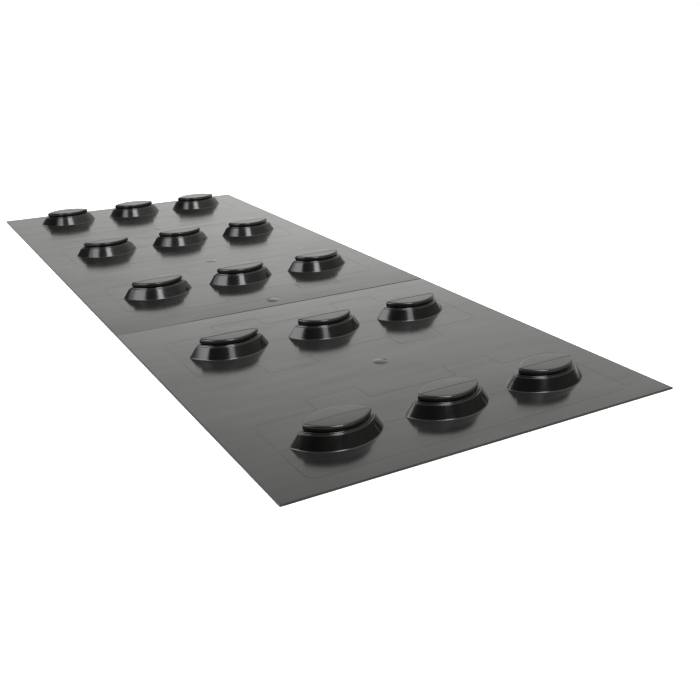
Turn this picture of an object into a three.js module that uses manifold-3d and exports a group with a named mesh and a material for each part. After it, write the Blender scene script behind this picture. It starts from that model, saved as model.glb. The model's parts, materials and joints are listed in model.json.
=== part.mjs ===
// Seedling heat mat: two flat heated panels joined by a fold, with rows of lens-shaped studs that keep
// the seed trays apart. Millimetres, +Z up, +Y towards the supply end, and the origin on the ground
// under the middle of the mat.

import * as THREE from 'three';
import { mergeVertices } from 'three/addons/utils/BufferGeometryUtils.js';
import Module from 'manifold-3d';

const wasm = await Module();
wasm.setup();

// ---------------------------------------------------------------- driving dimensions

// The mat as it lies flat.
const MAT_WIDTH = 530;
const MAT_LENGTH = 1406;
const FOLD_Y = -158;
const FOLD_GAP = 1.5;
const CLEARANCE = 0.3;

// Heights of the layers above the ground.
const TAPE_TOP = 0.25;
const BOTTOM_COVER_TOP = 0.5;
const INSULATION_TOP = 1;
const HEATER_TOP = 1.25;
const SHEET_TOP = 2.5;

// Layout of the studs.
const FIRST_ROW_Y = 615;
const ROW_PITCH = 305;
const COLUMN_PITCH = 147.5;
const MIDDLE_COLUMN = 2;
const COLUMNS = [1, 2, 3];
const ARC_SEGMENTS = 10;

// The stud body: a lens-shaped cone with a shoulder, a low plinth, a narrow neck and a spigot in the
// cover.
// An inset is how far an outline lies inside the foot's outline.
const STUD_HALF_LENGTH = 58.5;
const STUD_HALF_WIDTH = 35;
const SHOULDER_TOP = 17.75;
const SHOULDER_INSET = 9;
const PLINTH_TOP = 19.75;
const PLINTH_FOOT_INSET = 10.25;
const PLINTH_INSET = 11;
const NECK_TOP = 20.75;
const NECK_INSET = 14.5;
const NECK_WALL = 2.5;
const SPIGOT_INSET = 2.7;
const SPIGOT_WALL = 1.5;
const CEILING = 15.75;
const CEILING_INSET = 11;
const PLINTH_CEILING = 17.75;
const PLINTH_CEILING_INSET = 12.75;

// The stud cap: a slightly crowned lens that overhangs the neck and plugs into it.
const CAP_HALF_LENGTH = 43;
const CAP_HALF_WIDTH = 24;
const CAP_UNDERCUT = 0.75;
const CAP_RIM_TOP = 26.25;
const CAP_EDGE_TOP = 27.25;
const CAP_EDGE_INSET = 1;
const CAP_TOP = 27.75;
const CAP_CROWN_INSET = 12;
const CAP_CAVITY_TOP = 24.5;
const PLUG_BOTTOM = 17.75;
const PLUG_WALL = 2;

// The covers are welded together along their edges.
const WELD_BORDER = 12;
const LAYER_GAP = 0.5;

// The fold tape, and the jumpers that carry the current over the fold.
const TAPE_REACH = 20;
const FOLD_END_GAP = 0.25;
const JUMPER_WIDTH = 10;

// The heating foil: straight legs along the mat, joined at their ends.
const FOIL_WIDTH = 12;
const FOIL_LEGS = [30, 80, 130, 180, 230];
const FOIL_MARGIN = 19;
const FOIL_FOLD_MARGIN = 18.25;
const FOIL_PAD_X = 8;

// Clamp buttons hold the layers together between the rows.
const BUTTONS = [
  { name: 'clamp_button_far_1', x: 0, y: 446 },
  { name: 'clamp_button_far_2', x: 0, y: 144.5 },
  { name: 'clamp_button_far_3', x: -3, y: -129.5 },
  { name: 'clamp_button_near_1', x: 6, y: -444 },
];
const BUTTON_RADIUS = 10.5;
const BUTTON_RISE = 1.5;
const BUTTON_SHANK_RADIUS = 3;
const BUTTON_FLANGE_RADIUS = 5.5;
const ROUND_SEGMENTS = 24;
const DOME_STEPS = 4;

// The supply end, inside the middle stud of the far row. Places are measured from that stud's centre.
const SUPPLY_ROW = 1;
const SOCKET_HEIGHT = 9.5;
const SOCKET_RADIUS = 4.5;
const SOCKET_BORE_RADIUS = 3.2;
const SOCKET_BACK_Y = 21;
const SOCKET_LENGTH = 13;
const SOCKET_BACK_THICKNESS = 3;
const PIN_RADIUS = 1;
const PIN_LENGTH = 12;
const BLOCK = { x: 11, y: -7, halfDepth: 5, top: 9.25, grooveHalf: 1 };
const SCREW = { x: 6, radius: 1.75, bottom: 6.25, top: 8.75 };
const SCREW_SLOT = { reach: 3, halfWidth: 0.4, depth: 0.75 };
const CUTOUT = { y: 9, radius: 5, top: 6.25 };
const LEAD_RADIUS = 0.9;
const LEAD_END_GAP = 1;
const LEAD_START_X = 3;
const LEAD_BEND = { x: 8, pastCutout: 3, rise: 2 };
const LEAD_DROP = { x: 7, beforeBlock: 5 };
const LEAD_SEGMENTS = 8;
const LEAD_STEPS = 16;

// ---------------------------------------------------------------- worked out from them

const HALF_WIDTH = MAT_WIDTH / 2;
const FAR = {
  name: 'far',
  rows: [1, 2, 3],
  foldEdge: FOLD_Y + FOLD_GAP / 2,
  outerEdge: MAT_LENGTH / 2,
  inward: 1,
  buttons: BUTTONS.slice(0, 3),
};
const NEAR = {
  name: 'near',
  rows: [4, 5],
  foldEdge: FOLD_Y - FOLD_GAP / 2,
  outerEdge: -MAT_LENGTH / 2,
  inward: -1,
  buttons: BUTTONS.slice(3),
};
const MOUTH_INSET = NECK_INSET + NECK_WALL;
const PLUG_INSET = MOUTH_INSET + CLEARANCE;

// ---------------------------------------------------------------- materials

const material = (color, roughness, metalness = 0) =>
  new THREE.MeshStandardMaterial({ color, roughness, metalness });
const coverPlastic = material(0x1c1c1e, 0.35);
const studPlastic = material(0x0c0c0d, 0.2);
const foam = material(0xb9bcc0, 0.9);
const foil = material(0xc8c9cb, 0.35, 1);
const copper = material(0xb87333, 0.35, 1);
const tapeCloth = material(0x161616, 0.8);
const socketPlastic = material(0x101010, 0.4);
const ceramic = material(0xe8e2d4, 0.6);
const steel = material(0xa8a9ad, 0.3, 1);
const leadRed = material(0x8c1c17, 0.5);
const leadBlack = material(0x121212, 0.5);

// ---------------------------------------------------------------- solids and booleans

function solid(geometry) {
  const bare = geometry.clone();
  bare.deleteAttribute('normal');
  bare.deleteAttribute('uv');
  const merged = mergeVertices(bare, 1e-4);
  const vertProperties = new Float32Array(merged.attributes.position.array);
  const triVerts = new Uint32Array(merged.index.array);
  return new wasm.Manifold(new wasm.Mesh({ numProp: 3, vertProperties, triVerts }));
}

function geometryOf(manifold) {
  const mesh = manifold.getMesh();
  const geometry = new THREE.BufferGeometry();
  geometry.setAttribute('position', new THREE.BufferAttribute(mesh.vertProperties, 3));
  geometry.setIndex(new THREE.BufferAttribute(mesh.triVerts, 1));
  geometry.computeVertexNormals();
  return geometry;
}

function box(x0, x1, y0, y1, z0, z1) {
  const geometry = new THREE.BoxGeometry(Math.abs(x1 - x0), Math.abs(y1 - y0), Math.abs(z1 - z0));
  geometry.translate((x0 + x1) / 2, (y0 + y1) / 2, (z0 + z1) / 2);
  return geometry;
}

function upright(radius, x, y, z0, z1) {
  const geometry = new THREE.CylinderGeometry(radius, radius, z1 - z0, ROUND_SEGMENTS);
  geometry.rotateX(Math.PI / 2);
  geometry.translate(x, y, (z0 + z1) / 2);
  return geometry;
}

function alongY(radius, x, z, y0, y1) {
  const geometry = new THREE.CylinderGeometry(radius, radius, y1 - y0, ROUND_SEGMENTS);
  geometry.translate(x, (y0 + y1) / 2, z);
  return geometry;
}

function subtractAll(body, tools) {
  let cut = solid(body);
  for (const tool of tools) {
    cut = cut.subtract(solid(tool));
  }
  return geometryOf(cut);
}

// ---------------------------------------------------------------- lens outlines

// Two equal arcs that meet in a point at each end, drawn in by inset all round.
function lensOutline(halfLength, halfWidth, inset) {
  const fullRadius = (halfLength ** 2 + halfWidth ** 2) / (2 * halfWidth);
  const centreOffset = fullRadius - halfWidth;
  const radius = fullRadius - inset;
  const halfAngle = Math.acos(centreOffset / radius);
  const points = [];
  for (const side of [1, -1]) {
    for (let i = 0; i < ARC_SEGMENTS; i++) {
      const angle = halfAngle * ((2 * i) / ARC_SEGMENTS - 1);
      const x = -side * radius * Math.sin(angle);
      const y = side * (radius * Math.cos(angle) - centreOffset);
      points.push(new THREE.Vector2(x, y));
    }
  }
  return points;
}

const bodyLens = (inset) => lensOutline(STUD_HALF_LENGTH, STUD_HALF_WIDTH, inset);
const capLens = (inset) => lensOutline(CAP_HALF_LENGTH, CAP_HALF_WIDTH, inset);

// A closed solid through a stack of lens outlines, each given with its height.
function lensStack(levels) {
  const base = bodyLens(0);
  const steps = levels.length - 1;
  const geometry = new THREE.ExtrudeGeometry(new THREE.Shape(base), {
    depth: steps,
    steps,
    bevelEnabled: false,
  });
  const position = geometry.attributes.position;
  const corner = new THREE.Vector2();
  for (let i = 0; i < position.count; i++) {
    const [height, outline] = levels[Math.round(position.getZ(i))];
    corner.set(position.getX(i), position.getY(i));
    const place = outline[base.findIndex((point) => point.distanceTo(corner) < 0.01)];
    position.setXYZ(i, place.x, place.y, height);
  }
  return geometry;
}

// ---------------------------------------------------------------- studs

function studBodyGeometry(extraCuts = []) {
  const outside = lensStack([
    [HEATER_TOP, bodyLens(SPIGOT_INSET)],
    [SHEET_TOP, bodyLens(SPIGOT_INSET)],
    [SHEET_TOP, bodyLens(0)],
    [SHOULDER_TOP, bodyLens(SHOULDER_INSET)],
    [SHOULDER_TOP, bodyLens(PLINTH_FOOT_INSET)],
    [PLINTH_TOP, bodyLens(PLINTH_INSET)],
    [PLINTH_TOP, bodyLens(NECK_INSET)],
    [NECK_TOP, bodyLens(NECK_INSET)],
  ]);
  const inside = lensStack([
    [0, bodyLens(SPIGOT_INSET + SPIGOT_WALL)],
    [HEATER_TOP, bodyLens(SPIGOT_INSET + SPIGOT_WALL)],
    [CEILING, bodyLens(CEILING_INSET)],
    [CEILING, bodyLens(PLINTH_CEILING_INSET)],
    [PLINTH_CEILING, bodyLens(PLINTH_CEILING_INSET)],
    [PLINTH_CEILING, bodyLens(MOUTH_INSET)],
    [NECK_TOP + 1, bodyLens(MOUTH_INSET)],
  ]);
  return subtractAll(outside, [inside, ...extraCuts]);
}

function studCapGeometry() {
  const outside = lensStack([
    [PLUG_BOTTOM, bodyLens(PLUG_INSET)],
    [NECK_TOP, bodyLens(PLUG_INSET)],
    [NECK_TOP, capLens(CAP_UNDERCUT)],
    [NECK_TOP + CAP_UNDERCUT, capLens(0)],
    [CAP_RIM_TOP, capLens(0)],
    [CAP_EDGE_TOP, capLens(CAP_EDGE_INSET)],
    [CAP_TOP, capLens(CAP_CROWN_INSET)],
  ]);
  const inside = lensStack([
    [PLUG_BOTTOM - 1, bodyLens(PLUG_INSET + PLUG_WALL)],
    [CAP_CAVITY_TOP, bodyLens(PLUG_INSET + PLUG_WALL)],
  ]);
  return subtractAll(outside, [inside]);
}

function socketHole() {
  const radius = SOCKET_RADIUS + CLEARANCE;
  return alongY(radius, 0, SOCKET_HEIGHT, SOCKET_BACK_Y - 1, STUD_HALF_WIDTH + 1);
}

const studPlace = (row, column) => [
  (column - MIDDLE_COLUMN) * COLUMN_PITCH,
  FIRST_ROW_Y - (row - 1) * ROW_PITCH,
];

// ---------------------------------------------------------------- panel layers

// The pocket for the inner layers, with a slot at each side where a jumper leaves over the fold.
function pocketTools(panel) {
  const z0 = BOTTOM_COVER_TOP - 1;
  const inner = HALF_WIDTH - WELD_BORDER;
  const foldSide = panel.foldEdge + panel.inward * WELD_BORDER;
  const outerSide = panel.outerEdge - panel.inward * WELD_BORDER;
  const tools = [box(-inner, inner, foldSide, outerSide, z0, HEATER_TOP)];
  const legX = FOIL_LEGS[FOIL_LEGS.length - 1];
  const reach = JUMPER_WIDTH / 2 + CLEARANCE;
  const outside = panel.foldEdge - panel.inward;
  for (const side of [-1, 1]) {
    const x = side * legX;
    tools.push(box(x - reach, x + reach, outside, foldSide + panel.inward, z0, HEATER_TOP));
  }
  return tools;
}

function buttonHoles(panel, radius, z0, z1) {
  return panel.buttons.map((button) => upright(radius, button.x, button.y, z0, z1));
}

function topCoverGeometry(panel) {
  const { foldEdge, outerEdge } = panel;
  const slab = box(-HALF_WIDTH, HALF_WIDTH, foldEdge, outerEdge, BOTTOM_COVER_TOP, SHEET_TOP);
  const studHoles = [];
  for (const row of panel.rows) {
    for (const column of COLUMNS) {
      const outline = bodyLens(SPIGOT_INSET - CLEARANCE);
      const hole = lensStack([[0, outline], [SHEET_TOP + 1, outline]]);
      const [x, y] = studPlace(row, column);
      hole.translate(x, y, 0);
      studHoles.push(hole);
    }
  }
  const bolts = buttonHoles(panel, BUTTON_SHANK_RADIUS + CLEARANCE, 0, SHEET_TOP + 1);
  return subtractAll(slab, [...pocketTools(panel), ...studHoles, ...bolts]);
}

function bottomCoverGeometry(panel) {
  const { foldEdge, outerEdge, inward } = panel;
  const slab = box(-HALF_WIDTH, HALF_WIDTH, foldEdge, outerEdge, 0, BOTTOM_COVER_TOP);
  const rebateEnd = foldEdge + inward * (TAPE_REACH + CLEARANCE);
  const rebate = box(-HALF_WIDTH - 1, HALF_WIDTH + 1, foldEdge - inward, rebateEnd, -1, TAPE_TOP);
  const shanks = buttonHoles(panel, BUTTON_SHANK_RADIUS + CLEARANCE, -1, 1);
  const flanges = buttonHoles(panel, BUTTON_FLANGE_RADIUS + CLEARANCE, -1, TAPE_TOP);
  return subtractAll(slab, [rebate, ...shanks, ...flanges]);
}

function insulationGeometry(panel) {
  const half = HALF_WIDTH - WELD_BORDER - LAYER_GAP;
  const inset = panel.inward * (WELD_BORDER + LAYER_GAP);
  const [y0, y1] = [panel.foldEdge + inset, panel.outerEdge - inset];
  const sheet = box(-half, half, y0, y1, BOTTOM_COVER_TOP, INSULATION_TOP);
  const holes = buttonHoles(panel, BUTTON_SHANK_RADIUS + CLEARANCE, 0, INSULATION_TOP + 1);
  return subtractAll(sheet, holes);
}

function tapeGeometry(panel) {
  const atFold = FOLD_Y + (panel.inward * FOLD_END_GAP) / 2;
  const end = panel.foldEdge + panel.inward * TAPE_REACH;
  return box(-HALF_WIDTH, HALF_WIDTH, atFold, end, 0, TAPE_TOP);
}

// ---------------------------------------------------------------- heating foil

// A flat strip of constant width along a path of right-angled turns.
function stripGeometry(path) {
  const reach = FOIL_WIDTH / 2;
  const legs = [];
  for (let i = 1; i < path.length; i++) {
    const [xa, ya] = path[i - 1];
    const [xb, yb] = path[i];
    const [x0, x1] = [Math.min(xa, xb) - reach, Math.max(xa, xb) + reach];
    const [y0, y1] = [Math.min(ya, yb) - reach, Math.max(ya, yb) + reach];
    legs.push(solid(box(x0, x1, y0, y1, INSULATION_TOP, HEATER_TOP)));
  }
  return geometryOf(legs.reduce((whole, leg) => whole.add(leg)));
}

const foilFoldEnd = (panel) => panel.foldEdge + panel.inward * (FOIL_FOLD_MARGIN + FOIL_WIDTH / 2);
const foilOuterEnd = (panel) => panel.outerEdge - panel.inward * (FOIL_MARGIN + FOIL_WIDTH / 2);

function farFoilPath(side) {
  const [, padY] = studPlace(SUPPLY_ROW, MIDDLE_COLUMN);
  const path = [[side * FOIL_PAD_X, padY + BLOCK.y], [side * FOIL_LEGS[0], padY + BLOCK.y]];
  FOIL_LEGS.forEach((x, i) => {
    const ends = [foilOuterEnd(FAR), foilFoldEnd(FAR)];
    const [from, to] = i % 2 ? ends.reverse() : ends;
    if (i > 0) {
      path.push([side * x, from]);
    }
    path.push([side * x, to]);
  });
  return path;
}

function nearFoilPath() {
  const legs = [...FOIL_LEGS.map((x) => -x).reverse(), ...FOIL_LEGS];
  const path = [];
  legs.forEach((x, i) => {
    const ends = [foilFoldEnd(NEAR), foilOuterEnd(NEAR)];
    const [from, to] = i % 2 ? ends.reverse() : ends;
    path.push([x, from], [x, to]);
  });
  return path;
}

function jumperGeometry(panel, side) {
  const x = side * FOIL_LEGS[FOIL_LEGS.length - 1];
  const atFoil = panel.foldEdge + panel.inward * FOIL_FOLD_MARGIN;
  const atFold = FOLD_Y + panel.inward * FOLD_END_GAP;
  const half = JUMPER_WIDTH / 2;
  return box(x - half, x + half, atFold, atFoil, INSULATION_TOP, HEATER_TOP);
}

// ---------------------------------------------------------------- clamp buttons

// A low dome on the sheet, a shank through the layers and a flange let into the underside.
function buttonGeometry() {
  const profile = [
    new THREE.Vector2(0, 0),
    new THREE.Vector2(BUTTON_FLANGE_RADIUS, 0),
    new THREE.Vector2(BUTTON_FLANGE_RADIUS, TAPE_TOP),
    new THREE.Vector2(BUTTON_SHANK_RADIUS, TAPE_TOP),
    new THREE.Vector2(BUTTON_SHANK_RADIUS, SHEET_TOP),
    new THREE.Vector2(BUTTON_RADIUS, SHEET_TOP),
  ];
  for (let i = 1; i < DOME_STEPS; i++) {
    const share = i / DOME_STEPS;
    const height = BUTTON_RISE * (1 - (1 - share) ** 2);
    profile.push(new THREE.Vector2(BUTTON_RADIUS * (1 - share), SHEET_TOP + height));
  }
  profile.push(new THREE.Vector2(0, SHEET_TOP + BUTTON_RISE));
  const geometry = new THREE.LatheGeometry(profile, ROUND_SEGMENTS);
  geometry.rotateX(Math.PI / 2);
  return geometry;
}

// ---------------------------------------------------------------- supply end

function socketGeometry() {
  const pinHole = PIN_RADIUS + CLEARANCE;
  const profile = [
    new THREE.Vector2(pinHole, 0),
    new THREE.Vector2(SOCKET_RADIUS, 0),
    new THREE.Vector2(SOCKET_RADIUS, SOCKET_LENGTH),
    new THREE.Vector2(SOCKET_BORE_RADIUS, SOCKET_LENGTH),
    new THREE.Vector2(SOCKET_BORE_RADIUS, SOCKET_BACK_THICKNESS),
    new THREE.Vector2(pinHole, SOCKET_BACK_THICKNESS),
    new THREE.Vector2(pinHole, 0),
  ];
  const geometry = new THREE.LatheGeometry(profile, ROUND_SEGMENTS);
  geometry.translate(0, SOCKET_BACK_Y, SOCKET_HEIGHT);
  return geometry;
}

function pinGeometry() {
  const back = SOCKET_BACK_Y - 1;
  return alongY(PIN_RADIUS, 0, SOCKET_HEIGHT, back, back + PIN_LENGTH);
}

function terminalBlockGeometry() {
  const { x, y, halfDepth, top } = BLOCK;
  const block = box(-x, x, y - halfDepth, y + halfDepth, HEATER_TOP, top);
  const wellRadius = SCREW.radius + CLEARANCE;
  const wells = [-1, 1].map((side) => upright(wellRadius, side * SCREW.x, y, SCREW.bottom, top + 1));
  const [y0, y1] = [y - halfDepth - 1, y + halfDepth + 1];
  const groove = box(-BLOCK.grooveHalf, BLOCK.grooveHalf, y0, y1, SCREW.bottom, top + 1);
  return subtractAll(block, [...wells, groove]);
}

function screwGeometry(side) {
  const { x, radius, bottom, top } = SCREW;
  const shank = upright(radius, side * x, BLOCK.y, bottom, top);
  const { reach, halfWidth, depth } = SCREW_SLOT;
  const [x0, x1] = [side * x - reach, side * x + reach];
  const slot = box(x0, x1, BLOCK.y - halfWidth, BLOCK.y + halfWidth, top - depth, top + 1);
  return subtractAll(shank, [slot]);
}

// A lead from the back of the socket to the near face of the terminal block.
function leadGeometry(side) {
  const blockFace = BLOCK.y + BLOCK.halfDepth;
  const bendY = CUTOUT.y + LEAD_BEND.pastCutout;
  const dropY = blockFace + LEAD_DROP.beforeBlock;
  const start = new THREE.Vector3(side * LEAD_START_X, SOCKET_BACK_Y - LEAD_END_GAP, SOCKET_HEIGHT);
  const bend = new THREE.Vector3(side * LEAD_BEND.x, bendY, SOCKET_HEIGHT + LEAD_BEND.rise);
  const drop = new THREE.Vector3(side * LEAD_DROP.x, dropY, SOCKET_HEIGHT);
  const end = new THREE.Vector3(side * SCREW.x, blockFace + LEAD_END_GAP, BLOCK.top / 2);
  const curve = new THREE.CubicBezierCurve3(start, bend, drop, end);
  const ring = new THREE.Shape();
  for (let i = 0; i < LEAD_SEGMENTS; i++) {
    const angle = (2 * Math.PI * i) / LEAD_SEGMENTS;
    const x = LEAD_RADIUS * Math.cos(angle);
    const y = LEAD_RADIUS * Math.sin(angle);
    if (i === 0) {
      ring.moveTo(x, y);
    } else {
      ring.lineTo(x, y);
    }
  }
  ring.closePath();
  return new THREE.ExtrudeGeometry(ring, {
    extrudePath: curve,
    steps: LEAD_STEPS,
    bevelEnabled: false,
  });
}

// ---------------------------------------------------------------- assembly

function part(parent, name, geometry, finish) {
  const mesh = new THREE.Mesh(geometry, finish);
  mesh.name = name;
  parent.add(mesh);
  return mesh;
}

function addPanelLayers(group, panel) {
  part(group, `${panel.name}_bottom_cover`, bottomCoverGeometry(panel), coverPlastic);
  part(group, `${panel.name}_insulation_layer`, insulationGeometry(panel), foam);
  part(group, `${panel.name}_top_cover`, topCoverGeometry(panel), coverPlastic);
  part(group, `fold_strip_${panel.name}`, tapeGeometry(panel), tapeCloth);
  part(group, `jumper_left_${panel.name}`, jumperGeometry(panel, -1), copper);
  part(group, `jumper_right_${panel.name}`, jumperGeometry(panel, 1), copper);
  for (const button of panel.buttons) {
    part(group, button.name, buttonGeometry(), coverPlastic).position.set(button.x, button.y, 0);
  }
}

function addStuds(group, panel) {
  for (const row of panel.rows) {
    for (const column of COLUMNS) {
      const holdsSupply = row === SUPPLY_ROW && column === MIDDLE_COLUMN;
      const cuts = holdsSupply ? [socketHole()] : [];
      const stud = new THREE.Group();
      part(stud, `stud_body_r${row}c${column}`, studBodyGeometry(cuts), studPlastic);
      part(stud, `stud_cap_r${row}c${column}`, studCapGeometry(), studPlastic);
      const [x, y] = studPlace(row, column);
      stud.position.set(x, y, 0);
      group.add(stud);
    }
  }
}

function addSupply(group) {
  const supply = new THREE.Group();
  part(supply, 'supply_socket', socketGeometry(), socketPlastic);
  part(supply, 'supply_socket_pin', pinGeometry(), steel);
  part(supply, 'terminal_block', terminalBlockGeometry(), ceramic);
  part(supply, 'terminal_screw_left', screwGeometry(-1), steel);
  part(supply, 'terminal_screw_right', screwGeometry(1), steel);
  part(supply, 'supply_lead_left', leadGeometry(-1), leadBlack);
  part(supply, 'supply_lead_right', leadGeometry(1), leadRed);
  const { y, radius, top } = CUTOUT;
  part(supply, 'thermal_cutout', upright(radius, 0, y, HEATER_TOP, top), steel);
  supply.position.set(...studPlace(SUPPLY_ROW, MIDDLE_COLUMN), 0);
  group.add(supply);
}

const farPanel = new THREE.Group();
addPanelLayers(farPanel, FAR);
part(farPanel, 'far_heater_left', stripGeometry(farFoilPath(-1)), foil);
part(farPanel, 'far_heater_right', stripGeometry(farFoilPath(1)), foil);
addStuds(farPanel, FAR);
addSupply(farPanel);

const nearPanel = new THREE.Group();
addPanelLayers(nearPanel, NEAR);
part(nearPanel, 'near_heater', stripGeometry(nearFoilPath()), foil);
addStuds(nearPanel, NEAR);

const mat = new THREE.Group();
mat.add(farPanel, nearPanel);

export default mat;
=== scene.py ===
import json
import math

import bpy
from mathutils import Matrix, Vector

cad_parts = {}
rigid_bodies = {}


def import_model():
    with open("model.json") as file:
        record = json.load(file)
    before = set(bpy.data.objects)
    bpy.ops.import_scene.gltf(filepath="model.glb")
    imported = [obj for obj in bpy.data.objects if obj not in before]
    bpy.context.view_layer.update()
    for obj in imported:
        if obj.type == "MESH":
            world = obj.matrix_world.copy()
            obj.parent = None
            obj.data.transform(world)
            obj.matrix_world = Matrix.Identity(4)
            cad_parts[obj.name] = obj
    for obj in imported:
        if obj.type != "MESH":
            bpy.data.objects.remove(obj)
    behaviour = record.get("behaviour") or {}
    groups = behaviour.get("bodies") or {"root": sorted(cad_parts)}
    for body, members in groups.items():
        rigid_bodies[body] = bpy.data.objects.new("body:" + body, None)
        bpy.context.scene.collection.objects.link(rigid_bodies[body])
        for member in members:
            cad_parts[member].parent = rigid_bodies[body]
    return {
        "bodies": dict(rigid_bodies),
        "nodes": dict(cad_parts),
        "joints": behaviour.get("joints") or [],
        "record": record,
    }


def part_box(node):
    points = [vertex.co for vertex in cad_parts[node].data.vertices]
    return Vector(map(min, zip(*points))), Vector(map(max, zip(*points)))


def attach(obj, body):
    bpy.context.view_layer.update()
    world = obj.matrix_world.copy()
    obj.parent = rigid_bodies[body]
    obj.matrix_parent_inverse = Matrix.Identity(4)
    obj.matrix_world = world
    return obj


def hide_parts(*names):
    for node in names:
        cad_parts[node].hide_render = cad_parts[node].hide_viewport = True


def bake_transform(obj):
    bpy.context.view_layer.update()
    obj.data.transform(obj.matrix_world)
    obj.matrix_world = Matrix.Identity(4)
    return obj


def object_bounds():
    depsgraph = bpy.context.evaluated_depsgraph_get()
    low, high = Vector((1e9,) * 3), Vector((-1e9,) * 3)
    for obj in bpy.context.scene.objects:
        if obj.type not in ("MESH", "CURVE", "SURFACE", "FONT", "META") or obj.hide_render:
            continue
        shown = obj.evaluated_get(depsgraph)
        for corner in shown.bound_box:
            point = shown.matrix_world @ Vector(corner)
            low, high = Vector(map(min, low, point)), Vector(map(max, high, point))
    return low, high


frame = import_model()
CAD_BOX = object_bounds()

# ---------------------------------------------------------------- sizes, in metres

MM = 0.001

# Read from the frame.
FAR_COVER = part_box("far_top_cover")
NEAR_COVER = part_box("near_top_cover")
STUD_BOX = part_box("stud_body_r1c1")
CAP_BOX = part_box("stud_cap_r1c1")
SOCKET_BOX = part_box("supply_socket")
PIN_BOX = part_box("supply_socket_pin")
SHEET_TOP = FAR_COVER[1].z
HEATER_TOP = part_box("far_heater_left")[1].z
TAPE_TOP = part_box("fold_strip_far")[1].z
NECK_TOP = STUD_BOX[1].z
CAP_TOP = CAP_BOX[1].z
PLUG_BOTTOM = CAP_BOX[0].z

# Room between neighbouring pieces, and how far a cutting tool runs past what it cuts.
CLEARANCE = 0.3 * MM
LAYER_GAP = 0.5 * MM
OVERSHOOT = 1 * MM

# The stud's section. An inset is how far an outline lies inside the foot's lens.
FLANK_RUN = 9 * MM
SHOULDER_TOP = 17.75 * MM
FLANK_TILT = math.atan2(SHOULDER_TOP - SHEET_TOP, FLANK_RUN)
FLANK_LOW = 2 * MM
FLANK_HIGH = 1.2 * MM
FOOT_FILLET = 2 * MM
SHOULDER_ROUND = 0.9 * MM
PLINTH_TOP = 19.75 * MM
PLINTH_FOOT = 10.25 * MM
PLINTH_INSET = 11 * MM
PLINTH_ROUND = 1.4 * MM
PLINTH_EDGE = 0.9 * PLINTH_ROUND
PLINTH_ROUND_START_DEG = 165
PLINTH_CREASE = 0.15 * MM
PLINTH_CREASE_RISE = 0.2 * MM
NECK_INSET = 14.5 * MM
NECK_FILLET = 0.3 * MM
MOUTH_INSET = 17 * MM
PLUG_INSET = MOUTH_INSET + CLEARANCE
PLUG_WALL = 2 * MM
SPIGOT_INSET = 2.7 * MM
SPIGOT_INSIDE = 4.2 * MM
CEILING = 15.75 * MM
CEILING_INSET = 11 * MM
PLINTH_CEILING = 17.75 * MM
PLINTH_CEILING_INSET = 12.75 * MM
RIDGE_RADIUS = 0.7 * MM

# The cap's section.
CAP_RIM_TOP = 27.3 * MM
CAP_NOSE = 2.8 * MM
CAP_LOWER_ROUND = 1 * MM
CAP_CAVITY_TOP = 24.5 * MM
CAP_TIP_RADIUS = 1.6 * MM
CROWN_MIDDLE = 0.4 * MM
CROWN_TO_NOSE = 0.6 * MM

# The parting line along a cap. It is narrower on the used row, and one cap is almost worn smooth.
PARTING_DEPTH = 0.8 * MM
WORN_DEPTH = PARTING_DEPTH / 5
WIDE_PARTING = 1.6 * MM
NARROW_PARTING = 0.85 * MM
USED_ROW = "r5"
WORN_CAP = "r5c1"

# The supply socket, in the stud that holds the supply parts.
SUPPLY_STUD = "r1c2"
SOCKET_BORE = 3.2 * MM
SOCKET_FLOOR = 3 * MM
SOCKET_EDGE = 0.4 * MM
PIN_NOSE_ANGLES = (0.4, 0.8, 1.2, math.pi / 2)

# The clamp buttons. Some domes are pressed flatter than others, to this share of their rise.
BUTTON_SHANK = 3 * MM
BUTTON_FLANGE = 5.5 * MM
PRESSED_FLAT = {"clamp_button_far_1": 0.35, "clamp_button_far_2": 0.5}

# The strips that cross the fold.
STRIP_BEND = 1.2 * MM
STRIP_FLAT = 8 * MM
STRIP_EDGE = 0.06 * MM

# How a mat that lies loosely rises away from its fold, as far as its gloss shows it.
JOINT = frame["joints"][0]
FOLD_Y = JOINT["pos_m"][1]
FAR_SAG_REACH = 130 * MM
FAR_SAG = 2.6 * MM
NEAR_SAG_REACH = 150 * MM
NEAR_SAG = 2.3 * MM

# Mesh fineness.
ARC_STEPS = 36
TIP_STEPS = 4
ROUND_STEPS = 64
FILLET_STEPS = 6
PLINTH_STEPS = 5
CROWN_STEPS = 9
NOSE_STEPS = 7
CAP_LOWER_STEPS = 4
PARTING_STATIONS = 40
DOME_STEPS = 12
BEND_STEPS = 16
COVER_EDGE_STEPS = 3
LINE_CORNER_STEPS = 6
TAB_CORNER_STEPS = 3

# Witness lines of the mould on the sheet, round each row of studs.
LINE_WIDTH = 0.8 * MM
LINE_DEPTH = 0.14 * MM
LINE_TAPER = 6
MITRE_LIMIT = 0.5
LINE_HALF_LENGTH = 220 * MM
LINE_HALF_WIDTH = 71 * MM
LINE_MARGIN = 4 * MM
LINE_TO_STUD = 2.5 * MM
LINE_CORNER = 15 * MM
TAB_HALF_WIDTH = 104 * MM
TAB_INNER = 64 * MM
TAB_OUTER = 136 * MM
TAB_CORNER = 2 * MM
COVER_EDGE_ROUND = 0.8 * MM


# ---------------------------------------------------------------- mesh helpers

def add_mesh(name, verts, faces):
    mesh = bpy.data.meshes.new(name)
    mesh.from_pydata([tuple(v) for v in verts], [], faces)
    mesh.validate()
    mesh.update()
    obj = bpy.data.objects.new(name, mesh)
    bpy.context.scene.collection.objects.link(obj)
    return obj


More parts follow.
